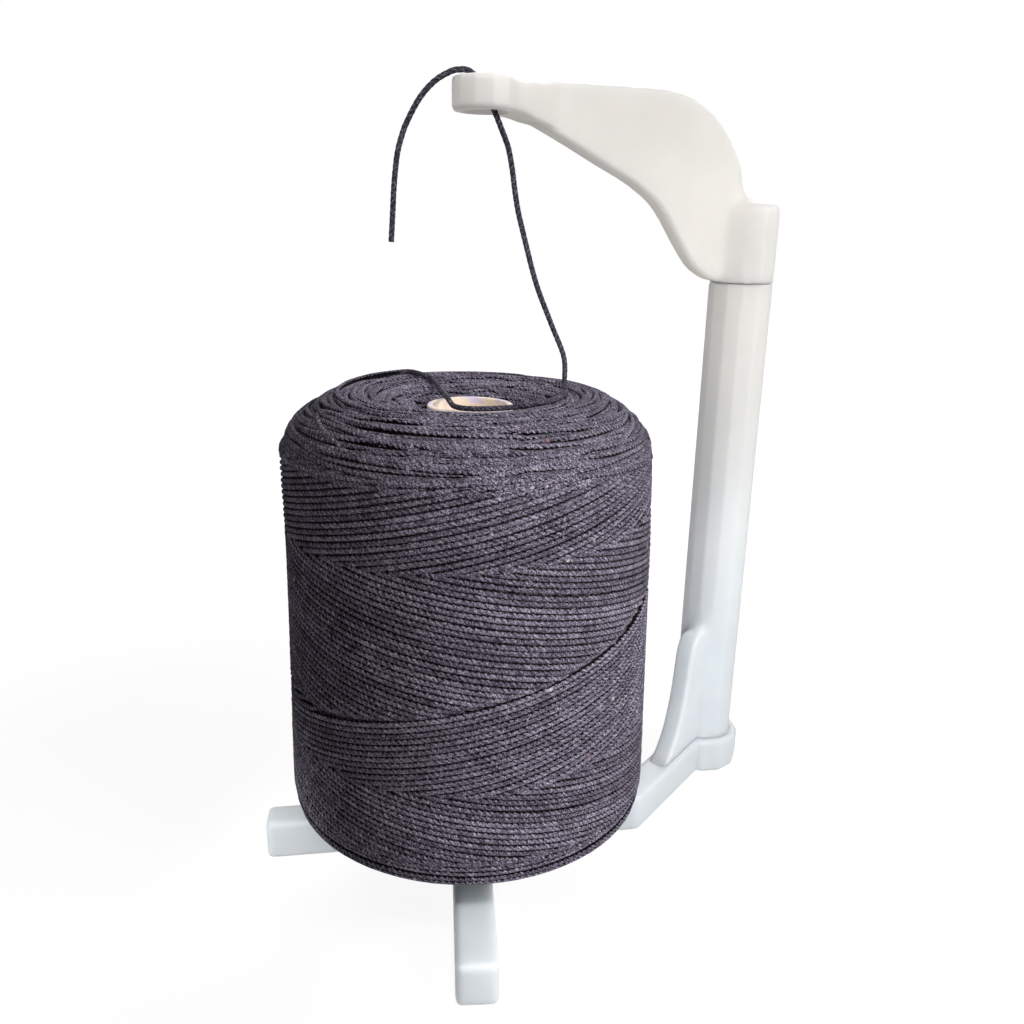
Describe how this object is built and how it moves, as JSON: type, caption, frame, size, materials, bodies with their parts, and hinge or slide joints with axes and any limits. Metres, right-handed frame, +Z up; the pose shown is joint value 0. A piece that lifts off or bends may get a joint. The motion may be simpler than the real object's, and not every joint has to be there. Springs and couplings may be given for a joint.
{
  "type": "yarn ball holder",
  "caption": "Free-standing yarn holder: low bar base, spindle for a cored ball, tall braced post and a swivelling arm whose eyelet guides the strand.",
  "frame": {"origin": "on the table, on the axis of the spindle, where the base's bars cross", "axes": "+Z up along the spindle, +X along the straight cross-bar towards the post, +Y to the back, away from the front leg"},
  "size_m": [0.1998, 0.1471, 0.2716],
  "materials": {
    "printed_plastic": "satin",
    "cardboard": "matte",
    "string": "matte"
  },
  "bodies": {
    "stand": {"base_frame": "printed_plastic", "spindle": "printed_plastic", "post": "printed_plastic", "yarn_lead": "string"},
    "head": {"swivel_head": "printed_plastic", "yarn_tail": "string"},
    "package": {"core_tube": "cardboard", "yarn_body": "string", "yarn_winding": "string"}
  },
  "joints": [
    {"name": "head_swivel", "type": "hinge", "parent": "stand", "child": "head", "pos_m": [0.10863, 0.04483, 0.2072], "axis": [0, 0, 1], "continuous": true},
    {"name": "package_spin", "type": "hinge", "parent": "stand", "child": "package", "pos_m": [0, 0, 0.0255], "axis": [0, 0, 1], "continuous": true}
  ]
}
